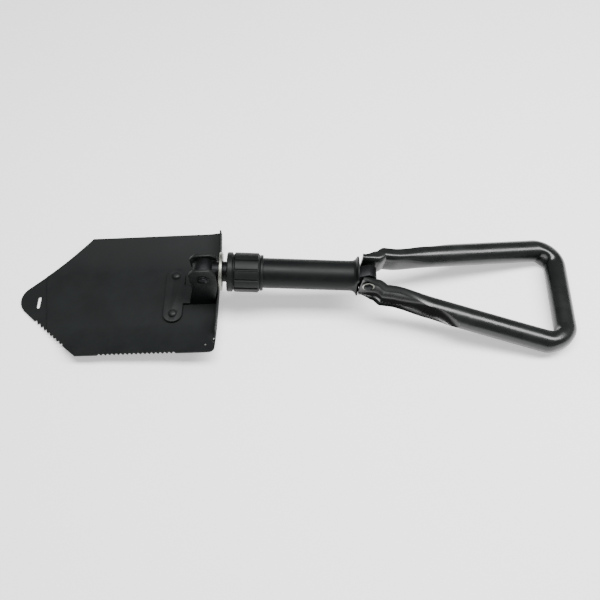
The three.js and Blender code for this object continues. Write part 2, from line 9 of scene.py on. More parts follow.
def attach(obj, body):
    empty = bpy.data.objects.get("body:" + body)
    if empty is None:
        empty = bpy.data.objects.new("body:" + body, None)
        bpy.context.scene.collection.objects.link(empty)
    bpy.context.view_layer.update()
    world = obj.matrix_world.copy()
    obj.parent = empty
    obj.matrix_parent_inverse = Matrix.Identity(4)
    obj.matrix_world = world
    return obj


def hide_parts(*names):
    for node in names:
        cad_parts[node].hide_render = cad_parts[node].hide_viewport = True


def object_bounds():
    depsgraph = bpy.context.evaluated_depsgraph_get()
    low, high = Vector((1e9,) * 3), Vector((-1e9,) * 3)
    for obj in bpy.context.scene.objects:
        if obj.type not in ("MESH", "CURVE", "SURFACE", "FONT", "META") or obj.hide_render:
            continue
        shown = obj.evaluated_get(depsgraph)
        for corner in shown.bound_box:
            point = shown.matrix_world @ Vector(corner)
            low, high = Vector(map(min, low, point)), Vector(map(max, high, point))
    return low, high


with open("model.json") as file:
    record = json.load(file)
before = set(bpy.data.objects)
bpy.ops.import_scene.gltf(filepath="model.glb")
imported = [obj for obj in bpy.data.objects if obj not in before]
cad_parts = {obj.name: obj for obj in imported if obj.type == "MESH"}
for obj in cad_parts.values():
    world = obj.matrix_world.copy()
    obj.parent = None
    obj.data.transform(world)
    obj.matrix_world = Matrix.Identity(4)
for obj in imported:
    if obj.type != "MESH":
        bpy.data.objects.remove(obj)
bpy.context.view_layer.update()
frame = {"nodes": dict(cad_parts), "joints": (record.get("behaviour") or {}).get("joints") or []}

JOINTS = {joint["name"]: joint for joint in frame["joints"]}

# ---- Frames ----
BLADE_DROOP = math.radians(6.8)
HANDLE_DROOP = math.radians(7.9)
BLADE_PIN = Vector(JOINTS["blade_fold"]["pos_m"])
HANDLE_PIN = Vector(JOINTS["handle_fold"]["pos_m"])
ALONG = -Vector(JOINTS["collar_turn"]["axis"])  # along the shaft, towards the handle
TILT = math.atan2(-ALONG.z, ALONG.x)


def frame_at(origin, turn):
    """A frame in millimetres at `origin`, turned about Y."""
    return Matrix.Translation(origin) @ Matrix.Rotation(turn, 4, "Y") @ Matrix.Scale(0.001, 4)


SHAFT = frame_at(BLADE_PIN, TILT)
BLADE = frame_at(BLADE_PIN, TILT - BLADE_DROOP)
HANDLE = frame_at(HANDLE_PIN, TILT + HANDLE_DROOP)

# ---- Sizes shared with the CAD model ----
GAP = 0.3  # between pieces that touch
SHEET = 1.8
BLADE_DROP = 44.6
BLADE_HALF_WIDTH = 75.4
BLADE_REAR = 9.7
SHOULDER = -134.5
TIP = -207
POINT_SLOPE = math.radians(42.6)
POINT_SKEW = 2.3
DISH_HEIGHT = 8.7
DISH_START = 34
FOOT_FLANGE = 7.5
FOOT_FLANGE_END = -56
TOOTH_DEPTH = 2.4
POINT_TEETH = (39, 90, 9)  # from and to, down the edge from the edges' apex, and how many
SIDE_TEETH = (-111, -29, 18)  # from and to along X, and how many
REAR_CORNER = 6
SLOT_CENTRE, SLOT_HALF, SLOT_RADIUS = Vector((-186.5, -1.5)), 6, 1.7
LOBE = (-38, 24)
BRACKET_SHEET = 3
RIVET_SHANK, RIVET_SUNK = 2.5, 0.1
PIN_RADIUS = 3
EAR_OUTER = 11.4
BLADE_PIN_HALF = EAR_OUTER + 1.4
NECK_RADIUS = 10.5
COLLAR_START, COLLAR_END, COLLAR_RADIUS, COLLAR_BORE, COLLAR_RIBS = 24.2, 58.1, 20.3, 16.8, 12
WASHER_START, WASHER_THICKNESS, WASHER_RADIUS = 16.4, 3.2, 19.9
RETAINER_START, RETAINER_THICKNESS, RETAINER_RADIUS = 58.4, 2.8, 18.6
COLLAR_PLAY, WASHER_PLAY, RETAINER_PLAY = 0.5, 0.4, 0.35  # radial, on the neck or on the tube
TUBE_START, TUBE_END, TUBE_RADIUS, TUBE_BORE, RIM_RADIUS = 28.3, 158.9, 15.5, 14, 20.4
THREAD_LEAD, THREAD_PITCH, THREAD_TURNS, THREAD_HEIGHT, THREAD_END = 2.7, 4, 5, 0.9, 51.4
RIM_NOTCH = 15.4
HANDLE_RADIUS = 11.76  # a little less than in the CAD model, whose tube has flat sides
GRIP = 208.5
ARM_SLOPE = 0.205
ARM_OFFSET = 19.8
ARM_CLEAR = 25.5
ARM_AT_EARS = ARM_OFFSET + 0.2
BEND_RADIUS = 20
EAR_FRONT, EAR_END, ARM_START = -8, 7, 15
WEB, CHANNEL_HEIGHT, HALF_WALL = 7.9, 12.6, 1.7
LIP_AT_EARS, LIP_FULL, LIP_FLARE = 4.8, 10.2, 3.8
HANDLE_EAR_OUTER = ARM_AT_EARS - WEB + HALF_WALL
HANDLE_PIN_HALF = HANDLE_EAR_OUTER + 1.9


def clamp(value, low=0.0, high=1.0):
    return max(low, min(high, value))


def smooth(value, start, end):
    t = clamp((value - start) / (end - start))
    return t * t * (3 - 2 * t)


def bell(value, width):
    """1 where value is 0, falling smoothly to about a third at `width`."""
    return math.exp(-((value / width) ** 2))


# ---- Materials ----


def node(tree, kind, **inputs):
    made = tree.nodes.new(kind)
    for name, value in inputs.items():
        made.inputs[name].default_value = value
    return made


def noise(tree, scale, detail=4.0, stretch=(1, 1, 1)):
    """Noise in the object's own space; scale is in features per metre."""
    where = tree.nodes.new("ShaderNodeTexCoord")
    mapping = tree.nodes.new("ShaderNodeMapping")
    mapping.inputs["Scale"].default_value = stretch
    made = node(tree, "ShaderNodeTexNoise", Scale=scale, Detail=detail, Roughness=0.6)
    tree.links.new(where.outputs["Object"], mapping.inputs["Vector"])
    tree.links.new(mapping.outputs["Vector"], made.inputs["Vector"])
    return made.outputs["Fac"]


def remap(tree, value, from_low, from_high, to_low, to_high):
    made = tree.nodes.new("ShaderNodeMapRange")
    made.clamp = True
    for name, number in (
        ("From Min", from_low),
        ("From Max", from_high),
        ("To Min", to_low),
        ("To Max", to_high),
    ):
        made.inputs[name].default_value = number
    tree.links.new(value, made.inputs["Value"])
    return made.outputs["Result"]


def math_node(tree, operation, a, b):
    made = tree.nodes.new("ShaderNodeMath")
    made.operation = operation
    for socket, value in zip(made.inputs, (a, b)):
        if isinstance(value, (int, float)):
            socket.default_value = value
        else:
            tree.links.new(value, socket)
    return made.outputs["Value"]


def mix_colour(tree, factor, a, b):
    made = tree.nodes.new("ShaderNodeMix")
    made.data_type = "RGBA"
    tree.links.new(factor, made.inputs["Factor"])
    for name, value in (("A", a), ("B", b)):
        socket = [s for s in made.inputs if s.name == name and s.type == "RGBA"][0]
        if isinstance(value, (tuple, list)):
            socket.default_value = (*value, 1)
        else:
            tree.links.new(value, socket)
    return [s for s in made.outputs if s.type == "RGBA"][0]


def new_material(name):
    material = bpy.data.materials.new(name)
    material.use_nodes = True
    tree = material.node_tree
    return material, tree, tree.nodes["Principled BSDF"]


def add_bump(tree, shader, height, strength, distance):
    bump = node(tree, "ShaderNodeBump", Strength=strength, Distance=distance)
    tree.links.new(height, bump.inputs["Height"])
    tree.links.new(bump.outputs["Normal"], shader.inputs["Normal"])


def paint(name, colour, dust, gloss, roughness, grain, bump, chips, worn=False):
    """Black paint: a fine orange peel, uneven gloss, a little dust and small chips down to the steel."""
    material, tree, shader = new_material(name)
    shader.inputs["Specular IOR Level"].default_value = gloss
    fine = noise(tree, grain, 3.0)
    broad = noise(tree, 38, 5.0)
    flecks = noise(tree, 420, 2.0)
    tone = mix_colour(tree, remap(tree, broad, 0.35, 0.75, 0.0, 1.0), colour, dust)
    chip = remap(tree, flecks, chips, chips + 0.015, 0.0, 1.0)
    if worn:
        wear = tree.nodes.new("ShaderNodeAttribute")
        wear.attribute_name = "wear"
        raised = math_node(tree, "MULTIPLY", wear.outputs["Fac"], 0.3)
        chip = remap(tree, math_node(tree, "ADD", flecks, raised), chips, chips + 0.02, 0.0, 1.0)
    tree.links.new(mix_colour(tree, chip, tone, (0.36, 0.37, 0.35)), shader.inputs["Base Color"])
    tree.links.new(math_node(tree, "MULTIPLY", chip, 0.9), shader.inputs["Metallic"])
    uneven = remap(tree, broad, 0.3, 0.75, roughness - 0.05, roughness + 0.07)
    tree.links.new(uneven, shader.inputs["Roughness"])
    add_bump(tree, shader, fine, bump, 0.00012)
    return material


def metal(name, colour, tarnish, roughness, stretch):
    """Bare steel with fine machining marks and a darker bloom."""
    material, tree, shader = new_material(name)
    marks = noise(tree, 900, 3.0, stretch)
    bloom = noise(tree, 90, 5.0)
    tone = mix_colour(tree, remap(tree, bloom, 0.4, 0.72, 0.0, 1.0), colour, tarnish)
    tree.links.new(tone, shader.inputs["Base Color"])
    shader.inputs["Metallic"].default_value = 1.0
    uneven = remap(tree, marks, 0.3, 0.7, roughness - 0.08, roughness + 0.12)
    tree.links.new(uneven, shader.inputs["Roughness"])
    add_bump(tree, shader, marks, 0.3, 0.00008)
    return material


# Each paint has a name, two colours, its gloss, roughness, features per metre, bump and start of chips.
BLADE_PAINT = paint(
    "blade_paint", (0.0052, 0.0061, 0.0064), (0.0078, 0.0092, 0.0092), 0.17, 0.62, 1500, 0.35, 0.83, True
)
BRACKET_PAINT = paint(
    "bracket_paint", (0.0050, 0.0058, 0.0061), (0.0078, 0.0090, 0.0092), 0.24, 0.48, 1500, 0.3, 0.8
)
TUBE_PAINT = paint(
    "tube_paint", (0.0028, 0.0034, 0.0036), (0.0046, 0.0055, 0.0055), 0.15, 0.45, 1300, 0.25, 0.85
)
COLLAR_PAINT = paint(
    "collar_paint", (0.0036, 0.0043, 0.0042), (0.0062, 0.0072, 0.0068), 0.17, 0.48, 1300, 0.25, 0.78
)
HANDLE_PAINT = paint(
    "handle_paint", (0.0030, 0.0037, 0.0038), (0.0054, 0.0066, 0.0064), 0.5, 0.28, 1100, 0.2, 0.85
)
BARE_STEEL = metal("bare_steel", (0.30, 0.31, 0.28), (0.15, 0.15, 0.13), 0.4, (6, 1, 1))
DARK_STEEL = metal("dark_steel", (0.022, 0.023, 0.024), (0.012, 0.0125, 0.013), 0.46, (1, 5, 1))

# ---- Making pieces ----
SHARP_ANGLE = math.radians(38)  # faces that meet at more than this keep a sharp edge


def add_piece(name, points, faces, at, material, body, slot, *replaced):
    mesh = bpy.data.meshes.new(name)
    mesh.from_pydata([at @ Vector(p) for p in points], [], faces)
    mesh.materials.append(material)
    finish_piece(name, mesh, body, slot, *replaced)


def finish_piece(name, mesh, body, slot, *replaced):
    for face in mesh.polygons:
        face.use_smooth = True
    mesh.set_sharp_from_angle(angle=SHARP_ANGLE)
    piece = bpy.data.objects.new(name, mesh)
    bpy.context.scene.collection.objects.link(piece)
    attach(piece, body)
    if replaced:
        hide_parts(*replaced)
    return piece


def refine(name, material, width):
    """Gives a CAD node its material, soft edges and smooth shading; its own mesh stays."""
    piece = frame["nodes"][name]
    piece.data.materials.clear()
    piece.data.materials.append(material)
    for face in piece.data.polygons:
        face.use_smooth = True
        face.material_index = 0
    weld = piece.modifiers.new("weld", "WELD")
    weld.merge_threshold = 0.00001
    flatten = piece.modifiers.new("flat_faces", "DECIMATE")
    flatten.decimate_type = "DISSOLVE"
    flatten.angle_limit = math.radians(1.5)
    bevel = piece.modifiers.new("soft_edges", "BEVEL")
    bevel.width = width * 0.001
    bevel.segments = 3
    bevel.limit_method = "ANGLE"
    bevel.angle_limit = math.radians(32)
    bevel.harden_normals = True


def rounded(profile, radius, closed=False, steps=4):
    """The profile with each of its corners cut by a short curve."""
    points = [Vector(p) for p in profile]
    count = len(points)
    made = []
    for i, here in enumerate(points):
        if not closed and i in (0, count - 1):
            made.append(here)
            continue
        before, after = points[i - 1], points[(i + 1) % count]
        cut = min(radius, 0.45 * (before - here).length, 0.45 * (after - here).length)
        start = here + (before - here).normalized() * cut
        end = here + (after - here).normalized() * cut
        for k in range(steps + 1):
            t = k / steps
            made.append(start * (1 - t) ** 2 + here * 2 * t * (1 - t) + end * t**2)
    return made


def lathe(profile, sides=96, closed=False, shape=None):
    """Points and faces of a profile of (x, radius) turned round X. shape may move each point."""
    points, rows = [], []
    for x, radius in profile:
        if radius < 1e-6:
            rows.append([len(points)] * sides)
            points.append(Vector((x, 0, 0)))
            continue
        rows.append([len(points) + k for k in range(sides)])
        for k in range(sides):
            angle = 2 * math.pi * k / sides
            reach = shape(x, radius, angle) if shape else radius
            points.append(Vector((x, reach * math.cos(angle), reach * math.sin(angle))))
    pairs = list(zip(rows, rows[1:])) + ([(rows[-1], rows[0])] if closed else [])
    faces = []
    for low, high in pairs:
        for k in range(sides):
            corners = [low[k], low[(k + 1) % sides], high[(k + 1) % sides], high[k]]
            faces.append([c for i, c in enumerate(corners) if c not in corners[:i]])
    return points, faces


ALONG_Y = Matrix.Rotation(math.radians(90), 4, "Z")
ALONG_Z = Matrix.Rotation(math.radians(-90), 4, "Y")

# ---- Blade ----


def dish(y):
    past = max(0.0, (abs(y) - DISH_START) / (BLADE_HALF_WIDTH - DISH_START))
    return DISH_HEIGHT * past**1.7


def teeth(start, end, out, count):
    """Slanted saw teeth along a straight edge, with a small round root."""
    step = (end - start) / count
    for i in range(count):
        foot = start + step * i
        yield foot + step * 0.04
        yield foot + step * 0.24 - out * TOOTH_DEPTH * 0.92
        yield foot + step * 0.32 - out * TOOTH_DEPTH
        yield foot + step * 0.42 - out * TOOTH_DEPTH * 0.9
        yield foot + step * 0.94 - out * 0.05
    yield end


def arc(centre, radius, start, end, steps):
    for k in range(steps + 1):
        angle = start + (end - start) * k / steps
        yield centre + Vector((math.cos(angle), math.sin(angle))) * radius


def blade_outline():
    cos, sin = math.cos(POINT_SLOPE), math.sin(POINT_SLOPE)
    apex = SHOULDER - BLADE_HALF_WIDTH * cos / sin
    nose = sin * (TIP - apex) / (1 - sin)
    down = Vector((cos, -sin))
    out = Vector((-sin, -cos))
    point = Vector((apex, 0))
    side = -BLADE_HALF_WIDTH
    loop = [Vector((BLADE_REAR, BLADE_HALF_WIDTH - 2)), Vector((BLADE_REAR - 0.6, BLADE_HALF_WIDTH - 0.6))]
    loop += [Vector((BLADE_REAR - 2, BLADE_HALF_WIDTH)), Vector((SHOULDER, BLADE_HALF_WIDTH))]
    turn = math.pi / 2 + POINT_SLOPE
    loop += arc(Vector((TIP + nose, 0)), nose, turn, 2 * math.pi - turn, 20)
    start, end, count = POINT_TEETH
    loop += teeth(point + down * start, point + down * end, out, count)
    loop.append(Vector((SHOULDER, side)))
    start, end, count = SIDE_TEETH
    loop += teeth(Vector((start, side)), Vector((end, side)), Vector((0, -1)), count)
    corner = Vector((BLADE_REAR - REAR_CORNER, side + REAR_CORNER))
    loop += arc(corner, REAR_CORNER, -math.pi / 2, 0, 8)
    reach = SHOULDER - TIP
    return [Vector((p.x, p.y + POINT_SKEW * max(0, SHOULDER - p.x) / reach)) for p in loop]


def slot_outline():
    half = Vector((0, SLOT_HALF))
    far_end = arc(SLOT_CENTRE + half, SLOT_RADIUS, 0, math.pi, 8)
    near_end = arc(SLOT_CENTRE - half, SLOT_RADIUS, math.pi, 2 * math.pi, 8)
    return [*far_end, *near_end]


def edge_distance(point, loops):
    nearest = 1e9
    for loop in loops:
        for a, b in zip(loop, loop[1:] + loop[:1]):
            run = b - a
            t = clamp((point - a).dot(run) / max(run.length_squared, 1e-9))
            nearest = min(nearest, (a + run * t - point).length)
    return nearest


# The tip is pressed down a little beyond a crease that runs across it.
CREASE_START, CREASE_END = Vector((-182.5, 26)), Vector((-175.6, -17))
CREASE_DEPTH, CREASE_HALF = 0.45, 0.7
WAVE_HEIGHT = 0.12  # of the faint waves that pressing leaves
FILLET_HEIGHT, FILLET_START = 1.6, -12  # where the sheet turns up into the foot flange
# Where the paint is chipped: the middle of each patch and its radius.
CHIPS = (((-186, 19.4), 1.8), ((-69, -15.4), 1.3), ((7.5, -57), 2.2), ((0, -66), 3.5), ((6.5, -62), 3.0))


def across_crease():
    """A unit step across the crease, towards the tip."""
    run = (CREASE_END - CREASE_START).normalized()
    return Vector((run.y, -run.x))


def blade_top(point):
    """Height of the sheet's top, with the crease, the press's faint waves and the fillet at the foot."""
    past = (point - CREASE_START).dot(across_crease())
    step = CREASE_DEPTH * smooth(past, -CREASE_HALF, CREASE_HALF)
    wave = WAVE_HEIGHT * math.sin(point.x / 23) * math.cos(point.y / 19)
    beside_bracket = smooth(abs(point.y), 13, 24)
    fillet = FILLET_HEIGHT * smooth(point.x, FILLET_START, BLADE_REAR) ** 2 * beside_bracket
    fillet *= smooth(point.y, FOOT_FLANGE_END - 4, FOOT_FLANGE_END + 8)
    return dish(point.y) - BLADE_DROP + SHEET / 2 - step + wave + fillet


def wear_at(point, loops):
    """How worn the paint is: a little along the sheet's edges, and right through in the chipped patches."""
    edge_wear, edge_width, patch_wear = 0.35, 1.5, 1.1
    near = max(1 - (point - Vector(centre)).length / radius for centre, radius in CHIPS)
    along_edge = edge_wear * (1 - edge_distance(point, loops) / edge_width)
    return max(along_edge, patch_wear * clamp(near * 2), 0.0)


def blade_plan(loops):
    """The blade's plan as a flat sheet, cut into a fine grid and along the crease."""
    sheet = bmesh.new()
    edges = []
    for loop in loops:
        corners = [sheet.verts.new((p.x, p.y, 0)) for p in loop]
        edges += [sheet.edges.new(pair) for pair in zip(corners, corners[1:] + corners[:1])]
    bmesh.ops.triangle_fill(sheet, use_beauty=True, edges=edges)
    cuts = [(Vector((x, 0, 0)), Vector((1, 0, 0))) for x in range(-204, 9, 4)]
    cuts += [(Vector((0, y, 0)), Vector((0, 1, 0))) for y in range(-74, 75, 2)]
    away = across_crease().to_3d()
    cuts += [(CREASE_START.to_3d() + away * d, away) for d in (-CREASE_HALF, -0.25, 0.25, CREASE_HALF)]
    for where, normal in cuts:
        everything = sheet.verts[:] + sheet.edges[:] + sheet.faces[:]
        bmesh.ops.bisect_plane(sheet, geom=everything, plane_co=where, plane_no=normal, dist=1e-5)
    bmesh.ops.dissolve_degenerate(sheet, edges=sheet.edges[:], dist=1e-4)
    for face in sheet.faces:
        if face.normal.z < 0:
            face.normal_flip()
    sheet.verts.index_update()
    return sheet


def make_blade():
    """The dished sheet: a top, a bottom straight below it, and walls between them along each rim."""
    loops = [blade_outline(), slot_outline()]
    sheet = blade_plan(loops)
    flat = [vert.co.to_2d() for vert in sheet.verts]
    count = len(flat)
    top_faces = [[vert.index for vert in face.verts] for face in sheet.faces]
    rims = [edge.link_loops[0] for edge in sheet.edges if edge.is_boundary]
    walls = [(rim.vert.index, rim.link_loop_next.vert.index) for rim in rims]
    sheet.free()
    points = [(p.x, p.y, blade_top(p)) for p in flat]
    points += [(p.x, p.y, dish(p.y) - BLADE_DROP - SHEET / 2) for p in flat]
    faces = top_faces + [[i + count for i in reversed(face)] for face in top_faces]
    faces += [[b, a, a + count, b + count] for a, b in walls]
    wear = [wear_at(p, loops) for p in flat]
    mesh = bpy.data.meshes.new("blade_sheet")
    mesh.from_pydata([BLADE @ Vector(p) for p in points], [], faces)
    mesh.attributes.new("wear", "FLOAT", "POINT").data.foreach_set("value", wear + wear)
    mesh.materials.append(BLADE_PAINT)
    piece = finish_piece("blade_sheet", mesh, "blade", "blade_paint", "blade")
    soften = piece.modifiers.new("soft_edges", "BEVEL")
    soften.width = 0.0003
    soften.segments = 2
    soften.limit_method = "ANGLE"
    soften.angle_limit = math.radians(50)


def make_foot_flange():
    """The turned-up rear edge, as one bar with a rounded top and a fillet down to the sheet."""
    rear, front = BLADE_REAR, BLADE_REAR - SHEET
    section = rounded(
        [
            (rear, -1.7), (rear, FOOT_FLANGE), (front, FOOT_FLANGE), (front, 0.9),
            (front - 0.9, -0.1), (front - 0.9, -1.7),
        ],
        0.8, closed=True, steps=3,
    )  # fmt: skip
    low, high, steps = FOOT_FLANGE_END, BLADE_HALF_WIDTH - 0.5, 60
    end_height = 0.15  # of the full height, at the end on the toothed side
    points, rows = [], []
    for k in range(steps + 1):
        y = low + (high - low) * k / steps
        height = end_height + (1 - end_height) * smooth(k / steps, 0, 0.07)
        base = dish(y) - BLADE_DROP + SHEET / 2
        rows.append([len(points) + i for i in range(len(section))])
        points += [(x, y, base + (z if z < 0 else z * height)) for x, z in section]
    faces = [rows[0], rows[-1][::-1]]
    for a, b in zip(rows, rows[1:]):
        for i in range(len(section)):
            j = (i + 1) % len(section)
            faces.append([a[j], a[i], b[i], b[j]])
    add_piece("blade_foot_flange", points, faces, BLADE, BLADE_PAINT, "blade", "blade_paint")


def make_rivet(name, side):
    """A snap-headed rivet, upset by hand, so that its head isn't quite round."""
    under = -BLADE_DROP - SHEET / 2 + RIVET_SUNK
    top = -BLADE_DROP + SHEET / 2 + 2 * GAP + BRACKET_SHEET
    head = [(top, 4.6), (top + 0.9, 4.45), (top + 1.8, 3.6), (top + 2.5, 2.3), (top + 2.8, 0)]
    profile = [(under, 0), (under, RIVET_SHANK), (top, RIVET_SHANK), *head]

    def uneven(x, radius, angle):
        return radius * (1 - 0.03 * math.sin(2 * angle + side) * (x > top))

    points, faces = lathe(rounded(profile, 0.5), 48, shape=uneven)
    at = BLADE @ Matrix.Translation((LOBE[0], side * LOBE[1], 0)) @ ALONG_Z
    add_piece(name + "_head", points, faces, at, BRACKET_PAINT, "blade", "blade_paint", name)


def make_pin(name, at, half, head, material, body, slot):
    """A hinge pin with a peened dome at each end, which the hammering has given faint facets."""
    head_radius, head_height, facets = head
    tip = half + head_height
    dome = [
        (half, head_radius), (half + head_height * 0.35, head_radius * 0.97),
        (half + head_height * 0.7, head_radius * 0.78), (half + head_height * 0.92, head_radius * 0.42),
        (tip - head_height * 0.12, 0),
    ]  # fmt: skip
    half_profile = rounded([(0, PIN_RADIUS), (half, PIN_RADIUS), *dome], 0.5)
    profile = [(-x, r) for x, r in reversed(half_profile[1:])] + half_profile

    def hammered(x, radius, angle):
        return radius * (1 - facets * (0.5 + 0.5 * math.cos(6 * angle)) * (abs(x) > half + 0.3))

    points, faces = lathe(profile, 48, shape=hammered)
    add_piece(name + "_peened", points, faces, at @ ALONG_Y, material, body, slot, name)


# ---- Lock ----


def make_ring(name, profile, corner, material, body, slot):
    points, faces = lathe(rounded(profile, corner, closed=True), closed=True)
    add_piece(name + "_turned", points, faces, SHAFT, material, body, slot, name)


def make_collar():
    """The screw collar: a plain front lip, a groove, and broad ribs round the rest of it."""
    x, end, radius = COLLAR_START, COLLAR_END, COLLAR_RADIUS
    core = radius - 1.3
    rib_start, rib_end = x + 8.1, end - 1.7

    def ribbed(at, reach, angle):
        if reach < core - 0.2 or at < rib_start - 0.6 or at > rib_end + 0.6:
            return reach
        across = abs((angle * COLLAR_RIBS / (2 * math.pi)) % 1 - 0.5) * 2
        pad = 1 - smooth(across, 0.74, 0.93)
        ends = smooth(at, rib_start - 0.5, rib_start + 0.3) * smooth(-at, -rib_end - 0.5, -rib_end + 0.3)
        return reach + (radius - core) * pad * ends

    ribs = [(rib_start + d, core) for d in (-0.5, -0.25, 0, 0.3, 3)]
    ribs += [(rib_end + d, core) for d in (-3, -0.3, 0, 0.25, 0.5)]
    neck = NECK_RADIUS + COLLAR_PLAY
    front = [(x, neck), (x, radius - 1.0), (x + 1.0, radius), (x + 5.6, radius), (x + 6.4, core - 0.7)]
    rear = [(end - 0.9, core), (end, core - 0.9), (end, COLLAR_BORE), (x + 3, COLLAR_BORE), (x + 3, neck)]
    profile = rounded(front, 0.5) + [(x + 7.2, core - 0.7), *ribs] + rounded(rear, 0.4)
    turned = lathe(profile, 288, closed=True, shape=ribbed)
    add_piece("lock_collar_ribbed", *turned, SHAFT, COLLAR_PAINT, "collar", "collar_paint", "lock_collar")


def make_lock():
    make_collar()
    x, inner, radius = RETAINER_START, TUBE_RADIUS + RETAINER_PLAY, RETAINER_RADIUS
    end = x + RETAINER_THICKNESS
    ring = [(x, inner), (x, radius), (end, radius - 0.4), (end, inner)]
    make_ring("collar_retainer_ring", ring, 0.7, COLLAR_PAINT, "collar_carrier", "collar_paint")
    x, inner, radius = WASHER_START, NECK_RADIUS + WASHER_PLAY, WASHER_RADIUS
    end = x + WASHER_THICKNESS
    washer = [(x, inner), (x, radius), (end, radius), (end, inner)]
    make_ring("lock_washer", washer, 0.8, BARE_STEEL, "washer", "bare_steel")


# ---- Shaft ----


def make_tube():
    """The shaft tube with its thread and its flared rim, which has a flat notch at each side."""
    start, end, radius, bore, rim = TUBE_START, TUBE_END, TUBE_RADIUS, TUBE_BORE, RIM_RADIUS
    thread = []
    for k in range(THREAD_TURNS):
        x = start + THREAD_LEAD + THREAD_PITCH * k
        thread += [(x, radius), (x + THREAD_PITCH / 2, radius + THREAD_HEIGHT)]
    profile = [
        (start, bore), (start, radius), *thread, (THREAD_END, radius),
        (end - 12, radius), (end - 8, radius + 0.1),
        (end - 5.6, radius + 0.4), (end - 3.6, radius + 1.4), (end - 2.2, rim - 1.4), (end - 1.5, rim),
        (end, rim), (end, rim - 1.2), (end - 1.4, rim - 3), (end - 3.6, bore + 1), (end - 6, bore),
    ]  # fmt: skip

    points, faces = lathe(rounded(profile, 0.45, closed=True), 128, closed=True)
    for p in points:
        if p.x > end - 10 and abs(p.y) > RIM_NOTCH:
            p.y = math.copysign(RIM_NOTCH, p.y)
    add_piece("shaft_tube_turned", points, faces, SHAFT, TUBE_PAINT, "shaft", "tube_paint", "shaft_tube")


# ---- Handle ----


def arm_half_spread(x):
    """|y| of an arm's middle line: pinched in at the ears, then clear of the tube, then straight."""
    if x < ARM_START:
        return ARM_AT_EARS + (ARM_CLEAR - ARM_AT_EARS) * smooth(x, EAR_END, ARM_START)
    gap = ARM_CLEAR - (ARM_OFFSET + ARM_SLOPE * x)
    return ARM_CLEAR - gap / 2 + math.hypot(gap, 0.6) / 2


def handle_path():
    """Stations (place, turn of the bend from 0 to 1) from one ear round the grip to the other."""
    slope = math.atan(ARM_SLOPE)
    centre = Vector((GRIP - BEND_RADIUS, 0))
    tangent_x = centre.x - BEND_RADIUS * math.sin(slope)
    centre.y = ARM_OFFSET + ARM_SLOPE * tangent_x - BEND_RADIUS * math.cos(slope)
    stations = []
    x = EAR_FRONT
    while x < tangent_x - 1:
        stations.append((Vector((x, arm_half_spread(x))), 0))
        x += 1 if x < 104 else 3
    steps = 36
    for k in range(steps + 1):
        angle = (math.pi / 2 + slope) * (1 - k / steps)
        spoke = Vector((math.cos(angle), math.sin(angle))) * BEND_RADIUS
        stations.append((centre + spoke, k / steps))
    grip_steps = 10
    for k in range(1, grip_steps + 1):
        stations.append((Vector((GRIP, centre.y * (1 - k / grip_steps))), 1))
    mirrored = [(Vector((p.x, -p.y)), t) for p, t in reversed(stations[:-1])]
    return stations + mirrored


def section_angles(quarter):
    """Angles round the tube from 0, outwards, set closer where the pressed lips turn."""
    rising = [math.pi / 2 * (1 - (1 - k / quarter) ** 1.6) for k in range(quarter)]
    falling = [math.pi - a for a in reversed(rising)]
    upper = rising + [math.pi / 2] + falling
    return upper[:-1] + [a + math.pi for a in upper[:-1]]


SCOOP_START, SCOOP_END = 64, 96  # x where the channel's lips start to close in on each other, and meet
SCOOP_HALF = math.radians(62)  # angle from the outside of the tube to a lip where the scoop starts
SCOOP_TIP = 0.1  # what is left of that angle where the lips meet
CHANNEL_FADE = (30, SCOOP_START + 4)  # x over which the open channel turns into the scooped tube
ROUND_AGAIN = SCOOP_END + 30  # x where the section's points are evenly spread again


def scooped(x, angle):
    """A point of the round tube with a leaf-shaped scoop in its outer side, between the two lips."""
    closing = clamp((x - SCOOP_START) / (SCOOP_END - SCOOP_START))
    half = SCOOP_HALF * math.sqrt(1 - (1 - SCOOP_TIP**2) * closing**2)
    turn = math.atan2(math.sin(angle), math.cos(angle))
    across = turn / (math.pi / 2)
    round_at = half * across
    if abs(across) > 1:
        round_at = math.copysign(half + (math.pi - half) * (abs(across) - 1), turn)
    round_at += (turn - round_at) * smooth(x, SCOOP_END, ROUND_AGAIN)
    point = Vector((math.cos(round_at), math.sin(round_at))) * HANDLE_RADIUS
    if abs(across) > 1 or closing == 1:
        return point
    depth = (HANDLE_RADIUS * math.cos(SCOOP_HALF) + WEB - HALF_WALL) * (half / SCOOP_HALF) ** 2
    floor_out = HANDLE_RADIUS * math.cos(half) - depth * (1 - across**2) ** 0.7
    return Vector((floor_out, HANDLE_RADIUS * math.sin(half) * across))


def lip_reach(x):
    """How far the lips stand out: little at the ears' ends, and most where the channel meets the tube."""
    return LIP_AT_EARS + (LIP_FULL - LIP_AT_EARS) * smooth(x, -6, 8) + LIP_FLARE * smooth(x, 40, 80)


def channel_point(angle, lip):
    """A point of the pressed channel's outline, which has its web towards the inside of the handle."""
    up, out = math.sin(angle), math.cos(angle)
    bend = abs(out) ** 0.5
    height = CHANNEL_HEIGHT * math.copysign(abs(up) ** 0.5, up)
    lean = min(1.0, abs(height) / CHANNEL_HEIGHT) ** 3
    normal = Vector((1, -math.copysign(lean, up))).normalized()
    taper = math.sqrt(max(0.0, 1 - up**8))
    return Vector((-WEB + lip * (1 - bend), height)) + normal * math.copysign(HALF_WALL, out) * taper


# Depths of the dents at a bend: the kink on its inside, the folds beside the kink, the flattened outside.
FAR_BEND, NEAR_BEND = (6.5, 1.7, 0.3), (4.8, 1.3, 2.2)
KINK_WIDTH, FOLD_AT, FOLD_WIDTH, FLAT_WIDTH = 32, 68, 22, 50  # degrees round the tube


